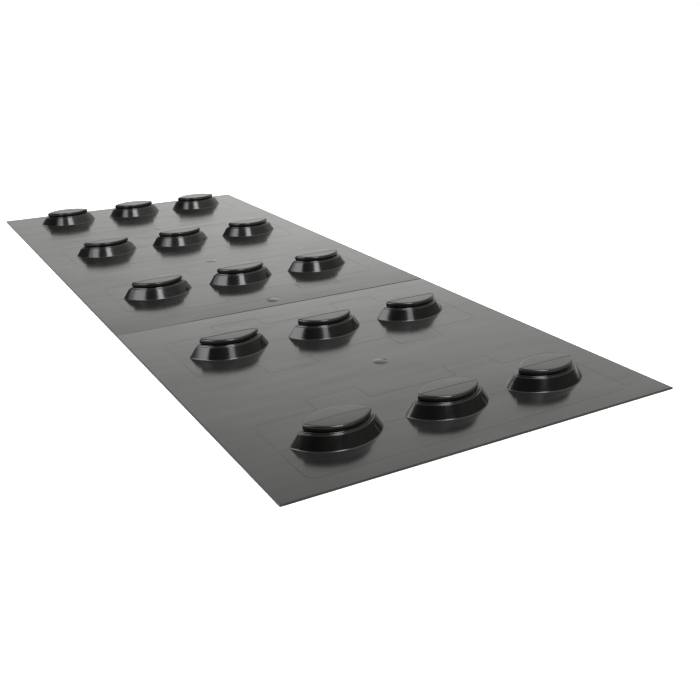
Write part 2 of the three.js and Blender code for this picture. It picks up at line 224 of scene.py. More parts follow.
def loft(name, rings, closed):
    """A skin through rings of equal length: closed back to its first ring, or capped at both ends."""
    count = len(rings[0])
    verts = [point for ring in rings for point in ring]
    faces = []
    spans = len(rings) if closed else len(rings) - 1
    for i in range(spans):
        a, b = i * count, ((i + 1) % len(rings)) * count
        for j in range(count):
            k = (j + 1) % count
            faces.append((a + j, a + k, b + k, b + j))
    if not closed:
        last = (len(rings) - 1) * count
        faces.append(tuple(reversed(range(count))))
        faces.append(tuple(range(last, last + count)))
    return add_mesh(name, verts, faces)


def face_outward(obj):
    """Turns the mesh inside out if it encloses a negative volume."""
    volume = 0.0
    verts = obj.data.vertices
    for poly in obj.data.polygons:
        first = verts[poly.vertices[0]].co
        for a, b in zip(poly.vertices[1:], poly.vertices[2:]):
            volume += first.dot(verts[a].co.cross(verts[b].co))
    if volume < 0:
        obj.data.flip_normals()
    return obj


def smooth(obj, angle_deg=32):
    for poly in obj.data.polygons:
        poly.use_smooth = True
    obj.data.set_sharp_from_angle(angle=math.radians(angle_deg))
    return obj


def carve(obj, cutter):
    """Cuts cutter out of obj, and removes cutter."""
    modifier = obj.modifiers.new("cut", "BOOLEAN")
    modifier.operation = "DIFFERENCE"
    modifier.solver = "EXACT"
    modifier.object = cutter
    graph = bpy.context.evaluated_depsgraph_get()
    result = bpy.data.meshes.new_from_object(obj.evaluated_get(graph))
    old = obj.data
    name = old.name
    obj.modifiers.clear()
    obj.data = result
    bpy.data.meshes.remove(old)
    result.name = name
    bpy.data.objects.remove(cutter)
    return obj


def block(name, low, high):
    xs, ys, zs = zip(low, high)
    verts = [(x, y, z) for z in zs for y in ys for x in xs]
    faces = [(0, 2, 3, 1), (4, 5, 7, 6), (0, 1, 5, 4), (2, 6, 7, 3), (0, 4, 6, 2), (1, 3, 7, 5)]
    return add_mesh(name, verts, faces)


def join(name, objs):
    """One mesh that holds all the solids in objs, which are removed."""
    verts, faces = [], []
    for obj in objs:
        base = len(verts)
        verts += [obj.matrix_world @ v.co for v in obj.data.vertices]
        faces += [tuple(base + i for i in poly.vertices) for poly in obj.data.polygons]
        bpy.data.objects.remove(obj)
    return add_mesh(name, verts, faces)


def lathe(name, profile):
    """Turns a profile of (radius, height) about Z. The profile starts and ends on the axis, or closes."""
    on_axis = profile[0][0] == 0
    turned = profile[1:-1] if on_axis else profile
    rings = []
    for radius, height in turned:
        angles = [2 * math.pi * i / ROUND_STEPS for i in range(ROUND_STEPS)]
        rings.append([(radius * math.cos(a), radius * math.sin(a), height) for a in angles])
    return face_outward(loft(name, rings, closed=not on_axis))


def arc(centre, radius, start_deg, end_deg, steps):
    """Points of an arc in a section: 0 degrees points along the first axis, 90 along the second."""
    points = []
    for i in range(steps + 1):
        a = math.radians(start_deg + (end_deg - start_deg) * i / steps)
        points.append((centre[0] + radius * math.cos(a), centre[1] + radius * math.sin(a)))
    return points


# ---------------------------------------------------------------- lens outlines

class Lens:
    """Two equal arcs that meet in a point at each end, with the points slightly rounded."""

    def __init__(self, half_length, half_width, tip_radius):
        self.half_width = half_width
        self.radius = (half_length ** 2 + half_width ** 2) / (2 * half_width)
        self.offset = self.radius - half_width
        self.tip_radius = tip_radius

    def ring(self, inset, height):
        radius = self.radius - inset
        tip_x = math.sqrt((radius - self.tip_radius) ** 2 - self.offset ** 2)
        reach = math.degrees(math.atan2(self.offset, tip_x))
        right = arc((tip_x, 0), self.tip_radius, -reach, reach, TIP_STEPS)
        upper = arc((0, -self.offset), radius, reach, 180 - reach, ARC_STEPS)
        left = arc((-tip_x, 0), self.tip_radius, 180 - reach, 180 + reach, TIP_STEPS)
        lower = arc((0, self.offset), radius, 180 + reach, 360 - reach, ARC_STEPS)
        outline = right + upper[1:-1] + left + lower[1:-1]
        return [(x, y, height) for x, y in outline]

    def inset_on_axis(self, x):
        """The inset whose outline's tip is at x on the long axis."""
        return self.radius - math.hypot(x, self.offset)


def box_half(box_pair, axis):
    return (box_pair[1][axis] - box_pair[0][axis]) / 2


FOOT = Lens(box_half(STUD_BOX, 0), box_half(STUD_BOX, 1), RIDGE_RADIUS)
CAP = Lens(box_half(CAP_BOX, 0), box_half(CAP_BOX, 1), CAP_TIP_RADIUS)


# ---------------------------------------------------------------- materials

def math_node(tree, operation, first, second):
    """The output of a math node. Each input is a number or another node's output."""
    step = tree.nodes.new("ShaderNodeMath")
    step.operation = operation
    for value, target in zip((first, second), step.inputs):
        if isinstance(value, float):
            target.default_value = value
        else:
            tree.links.new(value, target)
    return step.outputs[0]


class Shader:
    """A node material under construction, with short calls for the nodes it needs."""

    def __init__(self, name):
        self.material = bpy.data.materials.new(name)
        self.material.use_nodes = True
        self.tree = self.material.node_tree
        self.tree.nodes.clear()
        self.bsdf = self.node("ShaderNodeBsdfPrincipled")
        output = self.node("ShaderNodeOutputMaterial")
        self.link(self.bsdf.outputs["BSDF"], output.inputs["Surface"])
        self.place = self.node("ShaderNodeTexCoord").outputs["Object"]
        self.bumps = None

    def node(self, kind):
        return self.tree.nodes.new(kind)

    def link(self, source, target):
        self.tree.links.new(source, target)

    def set(self, **values):
        for key, value in values.items():
            self.bsdf.inputs[key.replace("_", " ")].default_value = value

    def noise(self, size, stretch=(1, 1, 1), detail=3.0, roughness=0.5):
        """Noise whose features are about size metres across, drawn out along each axis by stretch."""
        mapping = self.node("ShaderNodeMapping")
        mapping.inputs["Scale"].default_value = tuple(1 / (size * s) for s in stretch)
        self.link(self.place, mapping.inputs["Vector"])
        noise = self.node("ShaderNodeTexNoise")
        noise.inputs["Scale"].default_value = 1.0
        noise.inputs["Detail"].default_value = detail
        noise.inputs["Roughness"].default_value = roughness
        self.link(mapping.outputs["Vector"], noise.inputs["Vector"])
        return noise.outputs["Fac"]

    def combine(self, operation, first, second):
        return math_node(self.tree, operation, first, second)

    def ramp(self, fac, low, high, start=0.3, end=0.7):
        """Values between low and high, which are numbers or colours, as fac goes from start to end."""
        ramp = self.node("ShaderNodeMapRange")
        fac_input, output = 0, 0
        if isinstance(low, tuple):
            # The node's colour sockets follow its number sockets.
            ramp.data_type = "FLOAT_VECTOR"
            fac_input, output = 6, 1
            start, end = (start,) * 3, (end,) * 3
        self.link(fac, ramp.inputs[fac_input])
        for i, value in enumerate((start, end, low, high), fac_input + 1):
            ramp.inputs[i].default_value = value
        return ramp.outputs[output]

    def feed(self, name, value):
        self.link(value, self.bsdf.inputs[name])

    def bump(self, height, depth):
        """Adds a bump of about depth metres, on top of the bumps before it."""
        bump = self.node("ShaderNodeBump")
        bump.inputs["Strength"].default_value = 1.0
        bump.inputs["Distance"].default_value = depth
        self.link(height, bump.inputs["Height"])
        if self.bumps is not None:
            self.link(self.bumps, bump.inputs["Normal"])
        self.bumps = bump.outputs["Normal"]
        self.link(self.bumps, self.bsdf.inputs["Normal"])


def rise_from_fold(s):
    """Height in metres by which a sheet that lies loosely rises to each side of the fold."""
    parts = s.node("ShaderNodeSeparateXYZ")
    s.link(s.place, parts.inputs[0])
    total = None
    for end, height in ((FOLD_Y + FAR_SAG_REACH, FAR_SAG), (FOLD_Y - NEAR_SAG_REACH, NEAR_SAG)):
        left = s.ramp(parts.outputs["Y"], 1.0, 0.0, FOLD_Y, end)
        square = s.combine("MULTIPLY", left, left)
        rise = s.combine("MULTIPLY", s.combine("SUBTRACT", 1.0, square), height)
        total = rise if total is None else s.combine("ADD", total, rise)
    return total


def sheet_plastic():
    """Black moulded sheet: satin gloss, faint cloudy streaks, a slight wave and the rise at the fold."""
    s = Shader("sheet_plastic")
    s.set(IOR=1.5)
    cloud = s.noise(0.09, stretch=(2.2, 1, 1), detail=4)
    s.feed("Base Color", s.ramp(cloud, (0.0045, 0.0045, 0.0045), (0.008, 0.008, 0.0079)))
    streak = s.noise(0.035, stretch=(4, 1, 1), detail=5, roughness=0.6)
    s.feed("Roughness", s.ramp(streak, 0.13, 0.21))
    s.feed("Specular IOR Level", s.ramp(s.noise(0.016, stretch=(7, 1, 1), detail=5), 0.45, 0.55))
    s.bump(rise_from_fold(s), 1.0)
    s.bump(s.noise(0.26, detail=2.0), 0.0016)
    s.bump(s.noise(0.0012, detail=2.0), 0.000004)
    return s.material


def stud_plastic():
    """Glossy black moulding with faint flow bands up the flanks."""
    s = Shader("stud_plastic")
    s.set(IOR=1.5)
    s.feed("Base Color", s.ramp(s.noise(0.03), (0.0012, 0.0012, 0.0011), (0.0024, 0.0024, 0.0022)))
    s.feed("Roughness", s.ramp(s.noise(0.012, stretch=(1, 1, 3), detail=4), 0.13, 0.2))
    s.bump(s.noise(0.006, stretch=(1, 1, 8), detail=2.0), 0.00003)
    s.bump(s.noise(0.0009, detail=2.0), 0.000004)
    return s.material


def cap_plastic():
    """Satin black moulding with faint streaks in its gloss along the cap."""
    s = Shader("cap_plastic")
    s.set(IOR=1.5)
    s.feed("Base Color", s.ramp(s.noise(0.03), (0.003, 0.003, 0.003), (0.0055, 0.0055, 0.0053)))
    s.feed("Roughness", s.ramp(s.noise(0.01, stretch=(3, 1, 1), detail=5), 0.15, 0.25))
    s.bump(s.noise(0.03, detail=1.0), 0.00006)
    s.bump(s.noise(0.001, detail=2.0), 0.000005)
    return s.material


def underside_plastic():
    """Matt black sheet with an embossed grain."""
    s = Shader("underside_plastic")
    s.feed("Base Color", s.ramp(s.noise(0.04), (0.012, 0.012, 0.0125), (0.02, 0.02, 0.0205)))
    s.feed("Roughness", s.ramp(s.noise(0.01, detail=5), 0.5, 0.62))
    s.bump(s.noise(0.0016, detail=3.0), 0.00012)
    return s.material


def foam():
    """Grey closed-cell foam."""
    s = Shader("foam")
    s.feed("Base Color", s.ramp(s.noise(0.002, detail=2), (0.38, 0.39, 0.41), (0.5, 0.51, 0.53)))
    s.set(Roughness=0.95)
    s.bump(s.noise(0.0012, detail=2), 0.0002)
    return s.material


def rolled_metal(name, dark, light, roughness):
    """Rolled metal with fine lines along the rolling."""
    s = Shader(name)
    s.set(Metallic=1.0)
    s.feed("Base Color", s.ramp(s.noise(0.01, stretch=(1, 8, 1)), dark, light))
    s.feed("Roughness", s.ramp(s.noise(0.0008, stretch=(1, 60, 1)), roughness - 0.08, roughness + 0.08))
    s.bump(s.noise(0.0006, stretch=(1, 80, 1)), 0.00001)
    return s.material


def woven_tape():
    """Black tape with a plain weave."""
    s = Shader("woven_tape")
    waves = []
    for direction in ("X", "Y"):
        wave = s.node("ShaderNodeTexWave")
        wave.bands_direction = direction
        wave.inputs["Scale"].default_value = 300
        wave.inputs["Distortion"].default_value = 0.6
        s.link(s.place, wave.inputs["Vector"])
        waves.append(wave.outputs["Fac"])
    weave = s.combine("MULTIPLY", waves[0], waves[1])
    s.feed("Base Color", s.ramp(weave, (0.008, 0.008, 0.008), (0.03, 0.03, 0.031), 0, 1))
    s.set(Roughness=0.85)
    s.bump(weave, 0.0001)
    return s.material


def moulded(name, dark, light, roughness):
    """A plain moulded plastic or rubber with a fine grain."""
    s = Shader(name)
    s.feed("Base Color", s.ramp(s.noise(0.004), dark, light))
    s.feed("Roughness", s.ramp(s.noise(0.002), roughness - 0.05, roughness + 0.05))
    s.bump(s.noise(0.0006), 0.00001)
    return s.material


SHEET = sheet_plastic()
STUD = stud_plastic()
STUD_CAP = cap_plastic()
UNDERSIDE = underside_plastic()
FOAM = foam()
FOIL = rolled_metal("rolled_foil", (0.62, 0.63, 0.65), (0.78, 0.79, 0.8), 0.32)
COPPER = rolled_metal("rolled_copper", (0.66, 0.36, 0.2), (0.8, 0.47, 0.28), 0.34)
NICKEL = rolled_metal("nickel", (0.5, 0.49, 0.47), (0.62, 0.61, 0.59), 0.28)
TAPE = woven_tape()
SOCKET = moulded("socket_plastic", (0.008, 0.008, 0.008), (0.014, 0.014, 0.014), 0.38)
NYLON = moulded("nylon", (0.7, 0.66, 0.56), (0.8, 0.76, 0.66), 0.5)
LEAD_RED = moulded("lead_red", (0.22, 0.012, 0.01), (0.32, 0.02, 0.015), 0.45)
LEAD_BLACK = moulded("lead_black", (0.01, 0.01, 0.01), (0.016, 0.016, 0.016), 0.45)


def finish_piece(obj, material, slot, body, *nodes):
    """Gives a built piece its material and body, and hides the CAD nodes it stands for. Its slot is not
    used.
    """
    obj.data.materials.clear()
    obj.data.materials.append(material)
    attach(obj, body)
    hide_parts(*nodes)


def paint_node(name, material):
    """Puts a material on a CAD node that stays in view."""
    slots = frame["nodes"][name].material_slots
    for material_slot in slots:
        material_slot.material = material


# ---------------------------------------------------------------- studs

def stud_section():
    """Points (inset, height) up the outside of the stud and back down its hollow."""
    tilt = math.degrees(FLANK_TILT)
    run = FLANK_RUN / (SHOULDER_TOP - SHEET_TOP)
    half_turn = math.tan(FLANK_TILT / 2)
    foot_centre = (-FOOT_FILLET * half_turn, SHEET_TOP + FOOT_FILLET)
    foot = arc(foot_centre, FOOT_FILLET, -90, -90 + tilt, FILLET_STEPS)
    shoulder_centre = (FLANK_RUN + SHOULDER_ROUND * half_turn, SHOULDER_TOP - SHOULDER_ROUND)
    shoulder = arc(shoulder_centre, SHOULDER_ROUND, 90 + tilt, 90, FILLET_STEPS)
    low, high = SHEET_TOP + FLANK_LOW, SHOULDER_TOP - FLANK_HIGH
    flank = [((z - SHEET_TOP) * run, z) for z in (low, high)]
    plinth = [
        (PLINTH_FOOT - PLINTH_CREASE, SHOULDER_TOP),
        (PLINTH_FOOT + PLINTH_CREASE, SHOULDER_TOP + PLINTH_CREASE_RISE),
    ]
    plinth_centre = (PLINTH_INSET + PLINTH_EDGE, PLINTH_TOP - PLINTH_ROUND)
    plinth += arc(plinth_centre, PLINTH_ROUND, PLINTH_ROUND_START_DEG, 90, PLINTH_STEPS)
    neck = [
        (NECK_INSET - NECK_FILLET, PLINTH_TOP),
        (NECK_INSET, PLINTH_TOP + NECK_FILLET),
        (NECK_INSET, NECK_TOP),
    ]
    hollow = [
        (MOUTH_INSET, NECK_TOP),
        (MOUTH_INSET, PLINTH_CEILING),
        (PLINTH_CEILING_INSET, PLINTH_CEILING),
        (PLINTH_CEILING_INSET, CEILING),
        (CEILING_INSET, CEILING),
        (SPIGOT_INSIDE, HEATER_TOP),
        (SPIGOT_INSET, HEATER_TOP),
        (SPIGOT_INSET, SHEET_TOP),
    ]
    return foot + flank + shoulder + plinth + neck + hollow


def build_stud_body(name):
    rings = [FOOT.ring(inset, height) for inset, height in stud_section()]
    return smooth(face_outward(loft(name, rings, closed=True)))


def cap_height(inset):
    """Height of the cap's crowned top where its outline is drawn in by inset."""
    share = max(0.0, 1 - inset / CAP.half_width)
    return CAP_RIM_TOP + (CAP_TOP - CAP_RIM_TOP) * (1 - share ** 2)


def cap_rings():
    """Outlines from the middle of the cap's crown, out round its nose, and in again to its plug."""
    edge_slope = math.degrees(math.atan2(2 * (CAP_TOP - CAP_RIM_TOP), CAP.half_width))
    nose_inset = CAP_NOSE * (1 - math.sin(math.radians(edge_slope)))
    nose_drop = CAP_NOSE * math.cos(math.radians(edge_slope))
    innermost = CAP.half_width - CAP_TIP_RADIUS - CROWN_MIDDLE
    rings = []
    for i in range(CROWN_STEPS):
        inset = innermost + (nose_inset + CROWN_TO_NOSE - innermost) * i / (CROWN_STEPS - 1)
        rings.append(CAP.ring(inset, cap_height(inset)))
    nose_centre = (CAP_NOSE, cap_height(nose_inset) - nose_drop)
    for inset, height in arc(nose_centre, CAP_NOSE, 90 + edge_slope, 180, NOSE_STEPS):
        rings.append(CAP.ring(inset, height))
    lower_centre = (CAP_LOWER_ROUND, NECK_TOP + CAP_LOWER_ROUND)
    for inset, height in arc(lower_centre, CAP_LOWER_ROUND, 180, 270, CAP_LOWER_STEPS):
        rings.append(CAP.ring(inset, height))
    rings.append(FOOT.ring(PLUG_INSET, NECK_TOP))
    rings.append(FOOT.ring(PLUG_INSET, PLUG_BOTTOM))
    rings.append(FOOT.ring(PLUG_INSET + PLUG_WALL, PLUG_BOTTOM))
    rings.append(FOOT.ring(PLUG_INSET + PLUG_WALL, CAP_CAVITY_TOP))
    return rings


def parting_cutter(width, depth):
    """A thin bar that follows the cap's crown from tip to tip."""
    reach = box_half(CAP_BOX, 0) + OVERSHOOT
    half = width / 2
    top = CAP_TOP + OVERSHOOT
    rings = []
    for i in range(PARTING_STATIONS + 1):
        x = -reach + 2 * reach * i / PARTING_STATIONS
        floor = cap_height(max(0.0, CAP.inset_on_axis(x))) - depth
        rings.append([(x, -half, floor), (x, half, floor), (x, half, top), (x, -half, top)])
    return face_outward(loft("parting_cutter", rings, closed=False))


def build_cap(name, parting_width, parting_depth):
    cap = face_outward(loft(name, cap_rings(), closed=False))
    return smooth(carve(cap, parting_cutter(parting_width, parting_depth)), 30)


def copy_piece(source, name, place):
    piece = bpy.data.objects.new(name, source.data.copy())
    piece.data.name = name
    bpy.context.scene.collection.objects.link(piece)
    piece.location = place
    return piece


def stud_places():
    """(tag, body, centre) of every stud. A tag such as r1c2 gives its row and column."""
    for body, members in frame["record"]["behaviour"]["bodies"].items():
        for node in members:
            if node.startswith("stud_body_"):
                low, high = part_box(node)
                tag = node.removeprefix("stud_body_")
                yield tag, body, Vector(((low.x + high.x) / 2, (low.y + high.y) / 2, 0))


def build_studs():
    body_master = build_stud_body("stud_master")
    fresh_cap = build_cap("fresh_cap_master", WIDE_PARTING, PARTING_DEPTH)
    used_cap = build_cap("used_cap_master", NARROW_PARTING, PARTING_DEPTH)
    worn_cap = build_cap("worn_cap_master", NARROW_PARTING, WORN_DEPTH)
    for tag, body, centre in list(stud_places()):
        stud = copy_piece(body_master, f"stud_{tag}", centre)
        if tag == SUPPLY_STUD:
            carve_socket_hole(stud)
        finish_piece(stud, STUD, "stud", body, f"stud_body_{tag}")
        source = fresh_cap
        if tag.startswith(USED_ROW):
            source = worn_cap if tag == WORN_CAP else used_cap
        cap = copy_piece(source, f"cap_{tag}", centre)
        finish_piece(cap, STUD_CAP, "stud_cap", body, f"stud_cap_{tag}")
    for master in (body_master, fresh_cap, used_cap, worn_cap):
        bpy.data.objects.remove(master)


# ---------------------------------------------------------------- supply socket

SOCKET_RADIUS = box_half(SOCKET_BOX, 0)
SOCKET_HEIGHT = (SOCKET_BOX[0].z + SOCKET_BOX[1].z) / 2
ALONG_Y = Matrix.Rotation(-math.pi / 2, 4, "X")


def turned_along_y(name, profile, y, height):
    """A lathe piece whose axis runs along +Y from y, at that height over X = 0."""
    obj = lathe(name, profile)
    obj.data.transform(Matrix.Translation((0, y, height)) @ ALONG_Y)
    return obj


def carve_socket_hole(stud):
    """Opens the far flank of the stud for the socket."""
    radius = SOCKET_RADIUS + CLEARANCE
    start = SOCKET_BOX[0].y - stud.location.y - OVERSHOOT
    length = box_half(STUD_BOX, 1) + 2 * OVERSHOOT - start
    profile = [(0, 0), (radius, 0), (radius, length), (0, length)]
    cutter = turned_along_y("socket_cutter", profile, start, SOCKET_HEIGHT)
    cutter.location = stud.location
    bpy.context.view_layer.update()
    smooth(carve(stud, cutter))


def build_socket():
    length = SOCKET_BOX[1].y - SOCKET_BOX[0].y
    pin_hole = box_half(PIN_BOX, 0) + CLEARANCE
    profile = [
        (pin_hole, 0),
        (SOCKET_RADIUS - SOCKET_EDGE, 0),
        (SOCKET_RADIUS, SOCKET_EDGE),
        (SOCKET_RADIUS, length - SOCKET_EDGE),
        (SOCKET_RADIUS - SOCKET_EDGE, length),
        (SOCKET_BORE + SOCKET_EDGE, length),
        (SOCKET_BORE, length - SOCKET_EDGE),
        (SOCKET_BORE, SOCKET_FLOOR),
        (pin_hole, SOCKET_FLOOR),
    ]
    housing = turned_along_y("socket_housing", profile, SOCKET_BOX[0].y, SOCKET_HEIGHT)
    finish_piece(smooth(housing), SOCKET, "socket", "far_panel", "supply_socket")
    radius = box_half(PIN_BOX, 0)
    pin_length = PIN_BOX[1].y - PIN_BOX[0].y
    nose = [(0, pin_length)] + [
        (radius * math.sin(a), pin_length - radius + radius * math.cos(a))
        for a in PIN_NOSE_ANGLES
    ]
    profile = [(0, 0), (radius, 0)] + nose[::-1]
    pin = turned_along_y("socket_pin", profile, PIN_BOX[0].y, SOCKET_HEIGHT)
    finish_piece(smooth(pin), NICKEL, "small_metal", "far_panel", "supply_socket_pin")


# ---------------------------------------------------------------- top covers

def rounded_path(corners):
    """A closed path through (x, y, radius) corners, with each corner rounded by its radius."""
    path = []
    count = len(corners)
    for i, (x, y, radius) in enumerate(corners):
        here = Vector((x, y))
        before = (Vector(corners[i - 1][:2]) - here).normalized()
        after = (Vector(corners[(i + 1) % count][:2]) - here).normalized()
        start, end = here + before * radius, here + after * radius
        steps = LINE_CORNER_STEPS if radius == LINE_CORNER else TAB_CORNER_STEPS
        for k in range(steps + 1):
            t = k / steps
            path.append(start * (1 - t) ** 2 + here * 2 * t * (1 - t) + end * t ** 2)
    return path


def groove_cutter(name, path, closed):
    """A solid bar along path, LINE_TAPER times wider at its top, that cuts a groove in the sheet."""
    count = len(path)
    rings = []
    for i, point in enumerate(path):
        before = path[i - 1] if closed or i > 0 else None
        after = path[(i + 1) % count] if closed or i < count - 1 else None
        ways = []
        if before is not None:
            ways.append((point - before).normalized())
        if after is not None:
            ways.append((after - point).normalized())
        along = sum(ways, Vector((0, 0))).normalized()
        across = Vector((-along.y, along.x)) / max(MITRE_LIMIT, along.dot(ways[0]))
        top, bottom = across * LINE_WIDTH, across * LINE_WIDTH / LINE_TAPER
        low, high = SHEET_TOP - LINE_DEPTH, SHEET_TOP + LINE_DEPTH
        corners = [(point - bottom, low), (point + bottom, low), (point + top, high), (point - top, high)]
        rings.append([(p.x, p.y, z) for p, z in corners])
    return face_outward(loft(name, rings, closed))


def witness_corners(row_y, low_tabs, high_tabs):
    """Corners of the closed witness line round one row."""
    half = []
    for with_tabs, side in ((high_tabs, 1), (low_tabs, -1)):
        edge = row_y + side * LINE_HALF_WIDTH
        tab = row_y + side * TAB_HALF_WIDTH
        points = [(LINE_HALF_LENGTH, edge, LINE_CORNER)]
        if with_tabs:
            for inner, outer in ((TAB_INNER, TAB_OUTER), (-TAB_OUTER, -TAB_INNER)):
                points += [(outer, edge, TAB_CORNER), (outer, tab, TAB_CORNER)]
                points += [(inner, tab, TAB_CORNER), (inner, edge, TAB_CORNER)]
        points.append((-LINE_HALF_LENGTH, edge, LINE_CORNER))
        half.append(points)
    return half[0] + half[1][::-1]


def witness_cutters(rows, cover_box):
    """Groove cutters for the witness line and the centre line of each row on a panel."""
    cutters = []
    columns = sorted({round(centre.x, 6) for _, _, centre in stud_places()})
    reach = box_half(STUD_BOX, 0) + LINE_TO_STUD
    for row_y in rows:
        low_tabs = row_y - TAB_HALF_WIDTH > cover_box[0].y + LINE_MARGIN
        high_tabs = row_y + TAB_HALF_WIDTH < cover_box[1].y - LINE_MARGIN
        path = rounded_path(witness_corners(row_y, low_tabs, high_tabs))
        cutters.append(groove_cutter("witness", path, closed=True))
        starts = [-LINE_HALF_LENGTH + LINE_MARGIN] + [x + reach for x in columns]
        ends = [x - reach for x in columns] + [LINE_HALF_LENGTH - LINE_MARGIN]
        for start, end in zip(starts, ends):
            line = [Vector((start, row_y)), Vector((end, row_y))]
            cutters.append(groove_cutter("centre_line", line, closed=False))
    return join("witness_cutter", cutters)


def lens_prism(centre, inset, low, high):
    rings = [FOOT.ring(inset, z) for z in (low, high)]
    prism = face_outward(loft("lens_prism", rings, closed=False))
    prism.location = centre
    bpy.context.view_layer.update()
    return prism


def round_hole(x, y, radius, low, high):
    hole = lathe("round_hole", [(0, low), (radius, low), (radius, high), (0, high)])
    hole.location = (x, y, 0)
    bpy.context.view_layer.update()
    return hole


def cover_blank(name, box_pair):
    """The cover's slab with its upper edges rounded."""
    low, high = box_pair

    def ring(inset, z):
        x0, x1 = low.x + inset, high.x - inset
        y0, y1 = low.y + inset, high.y - inset
        return [(x0, y0, z), (x1, y0, z), (x1, y1, z), (x0, y1, z)]

    rings = [ring(0, low.z)]
    edge_centre = (COVER_EDGE_ROUND, high.z - COVER_EDGE_ROUND)
    for inset, height in arc(edge_centre, COVER_EDGE_ROUND, 180, 90, COVER_EDGE_STEPS):
        rings.append(ring(inset, height))
    return face_outward(loft(name, rings, closed=False))


def pocket_cutter(panel, cover_box):
    """The pocket for the inner layers under the cover."""
    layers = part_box(f"{panel}_insulation_layer")
    low = (layers[0].x - LAYER_GAP, layers[0].y - LAYER_GAP, cover_box[0].z - OVERSHOOT)
    high = (layers[1].x + LAYER_GAP, layers[1].y + LAYER_GAP, HEATER_TOP)
    return block("pocket", low, high)


def jumper_slots(panel, cover_box):
    """The slots in the cover's border through which the jumpers leave over the fold."""
    slots = []
    for side in ("left", "right"):
        low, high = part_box(f"jumper_{side}_{panel}")
        gap = Vector((CLEARANCE, 0, 0))
        start = low - gap
        end = high + gap
        start.z = cover_box[0].z - OVERSHOOT
        slots.append(block("slot", start, end))
    return join("slots", slots)


def build_top_cover(panel, cover_box):
    cover = cover_blank(f"{panel}_cover_moulding", cover_box)
    carve(cover, pocket_cutter(panel, cover_box))
    carve(cover, jumper_slots(panel, cover_box))
    top = SHEET_TOP + OVERSHOOT
    through = []
    rows = set()
    for _, body, centre in list(stud_places()):
        if body == f"{panel}_panel":
            rows.add(round(centre.y, 6))
            through.append(lens_prism(centre, SPIGOT_INSET - CLEARANCE, 0, top))
    for button in button_nodes(panel):
        low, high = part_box(button)
        x, y = (low.x + high.x) / 2, (low.y + high.y) / 2
        through.append(round_hole(x, y, BUTTON_SHANK + CLEARANCE, 0, top))
    carve(cover, join("holes", through))
    carve(cover, witness_cutters(sorted(rows), cover_box))
    for poly in cover.data.polygons:
        poly.use_smooth = False
    finish_piece(cover, SHEET, "cover", f"{panel}_panel", f"{panel}_top_cover")


# ---------------------------------------------------------------- clamp buttons

def button_nodes(panel):
    members = frame["record"]["behaviour"]["bodies"][f"{panel}_panel"]
    return [node for node in members if node.startswith("clamp_button")]


def build_button(node, panel):
    low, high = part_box(node)
    radius = (high.x - low.x) / 2
    rise = (high.z - SHEET_TOP) * PRESSED_FLAT.get(node, 1)
    dome = []
    for i in range(1, DOME_STEPS):
        r = radius * (1 - i / DOME_STEPS)
        dome.append((r, SHEET_TOP + rise * (1 - (r / radius) ** 2)))
    profile = [
        (0, 0),
        (BUTTON_FLANGE, 0),
        (BUTTON_FLANGE, TAPE_TOP),
        (BUTTON_SHANK, TAPE_TOP),
        (BUTTON_SHANK, SHEET_TOP),
        (radius, SHEET_TOP),
    ]
    button = lathe(node.replace("clamp_button", "clamp_dome"), profile + dome + [(0, SHEET_TOP + rise)])
    smooth(button, 30)
    button.location = ((low.x + high.x) / 2, (low.y + high.y) / 2, 0)
    finish_piece(button, SHEET, "clamp_button", f"{panel}_panel", node)


# ---------------------------------------------------------------- what crosses the fold

def bent_strip(name, far_node, near_node, material):
    """One strip across the fold, in place of its two halves."""
    far_low, far_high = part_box(far_node)
    near_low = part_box(near_node)[0]
    ys = [near_low.y, FOLD_Y - STRIP_FLAT]
    ys += [FOLD_Y - STRIP_BEND + 2 * STRIP_BEND * i / BEND_STEPS for i in range(BEND_STEPS + 1)]
    ys += [FOLD_Y + STRIP_FLAT, far_high.y]
    left, right = far_low.x, far_high.x
    low_z, high_z = far_low.z, far_high.z
    edge = min(STRIP_EDGE, (high_z - low_z) / 4)
    rings = []
    for y in ys:
        rings.append([
            (left, y, low_z + edge), (left + edge, y, low_z), (right - edge, y, low_z),
            (right, y, low_z + edge), (right, y, high_z - edge), (right - edge, y, high_z),
            (left + edge, y, high_z), (left, y, high_z - edge),
        ])
    strip = face_outward(loft(name, rings, closed=False))
    strip.data.materials.append(material)
    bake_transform(strip)
    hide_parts(far_node, near_node)


# ---------------------------------------------------------------- building it all

def build_object():
    build_top_cover("far", FAR_COVER)
    build_top_cover("near", NEAR_COVER)
    build_studs()
    build_socket()
    for panel in ("far", "near"):
        for node in button_nodes(panel):
            build_button(node, panel)
        paint_node(f"{panel}_bottom_cover", UNDERSIDE)
        paint_node(f"{panel}_insulation_layer", FOAM)
    for node in ("far_heater_left", "far_heater_right", "near_heater"):
        paint_node(node, FOIL)
    for node in ("terminal_screw_left", "terminal_screw_right", "thermal_cutout"):
        paint_node(node, NICKEL)
    paint_node("terminal_block", NYLON)
    paint_node("supply_lead_left", LEAD_BLACK)
    paint_node("supply_lead_right", LEAD_RED)
    bent_strip("fold_tape", "fold_strip_far", "fold_strip_near", TAPE)
    for side in ("left", "right"):
        bent_strip(f"jumper_{side}", f"jumper_{side}_far", f"jumper_{side}_near", COPPER)


# ---------------------------------------------------------------- stage

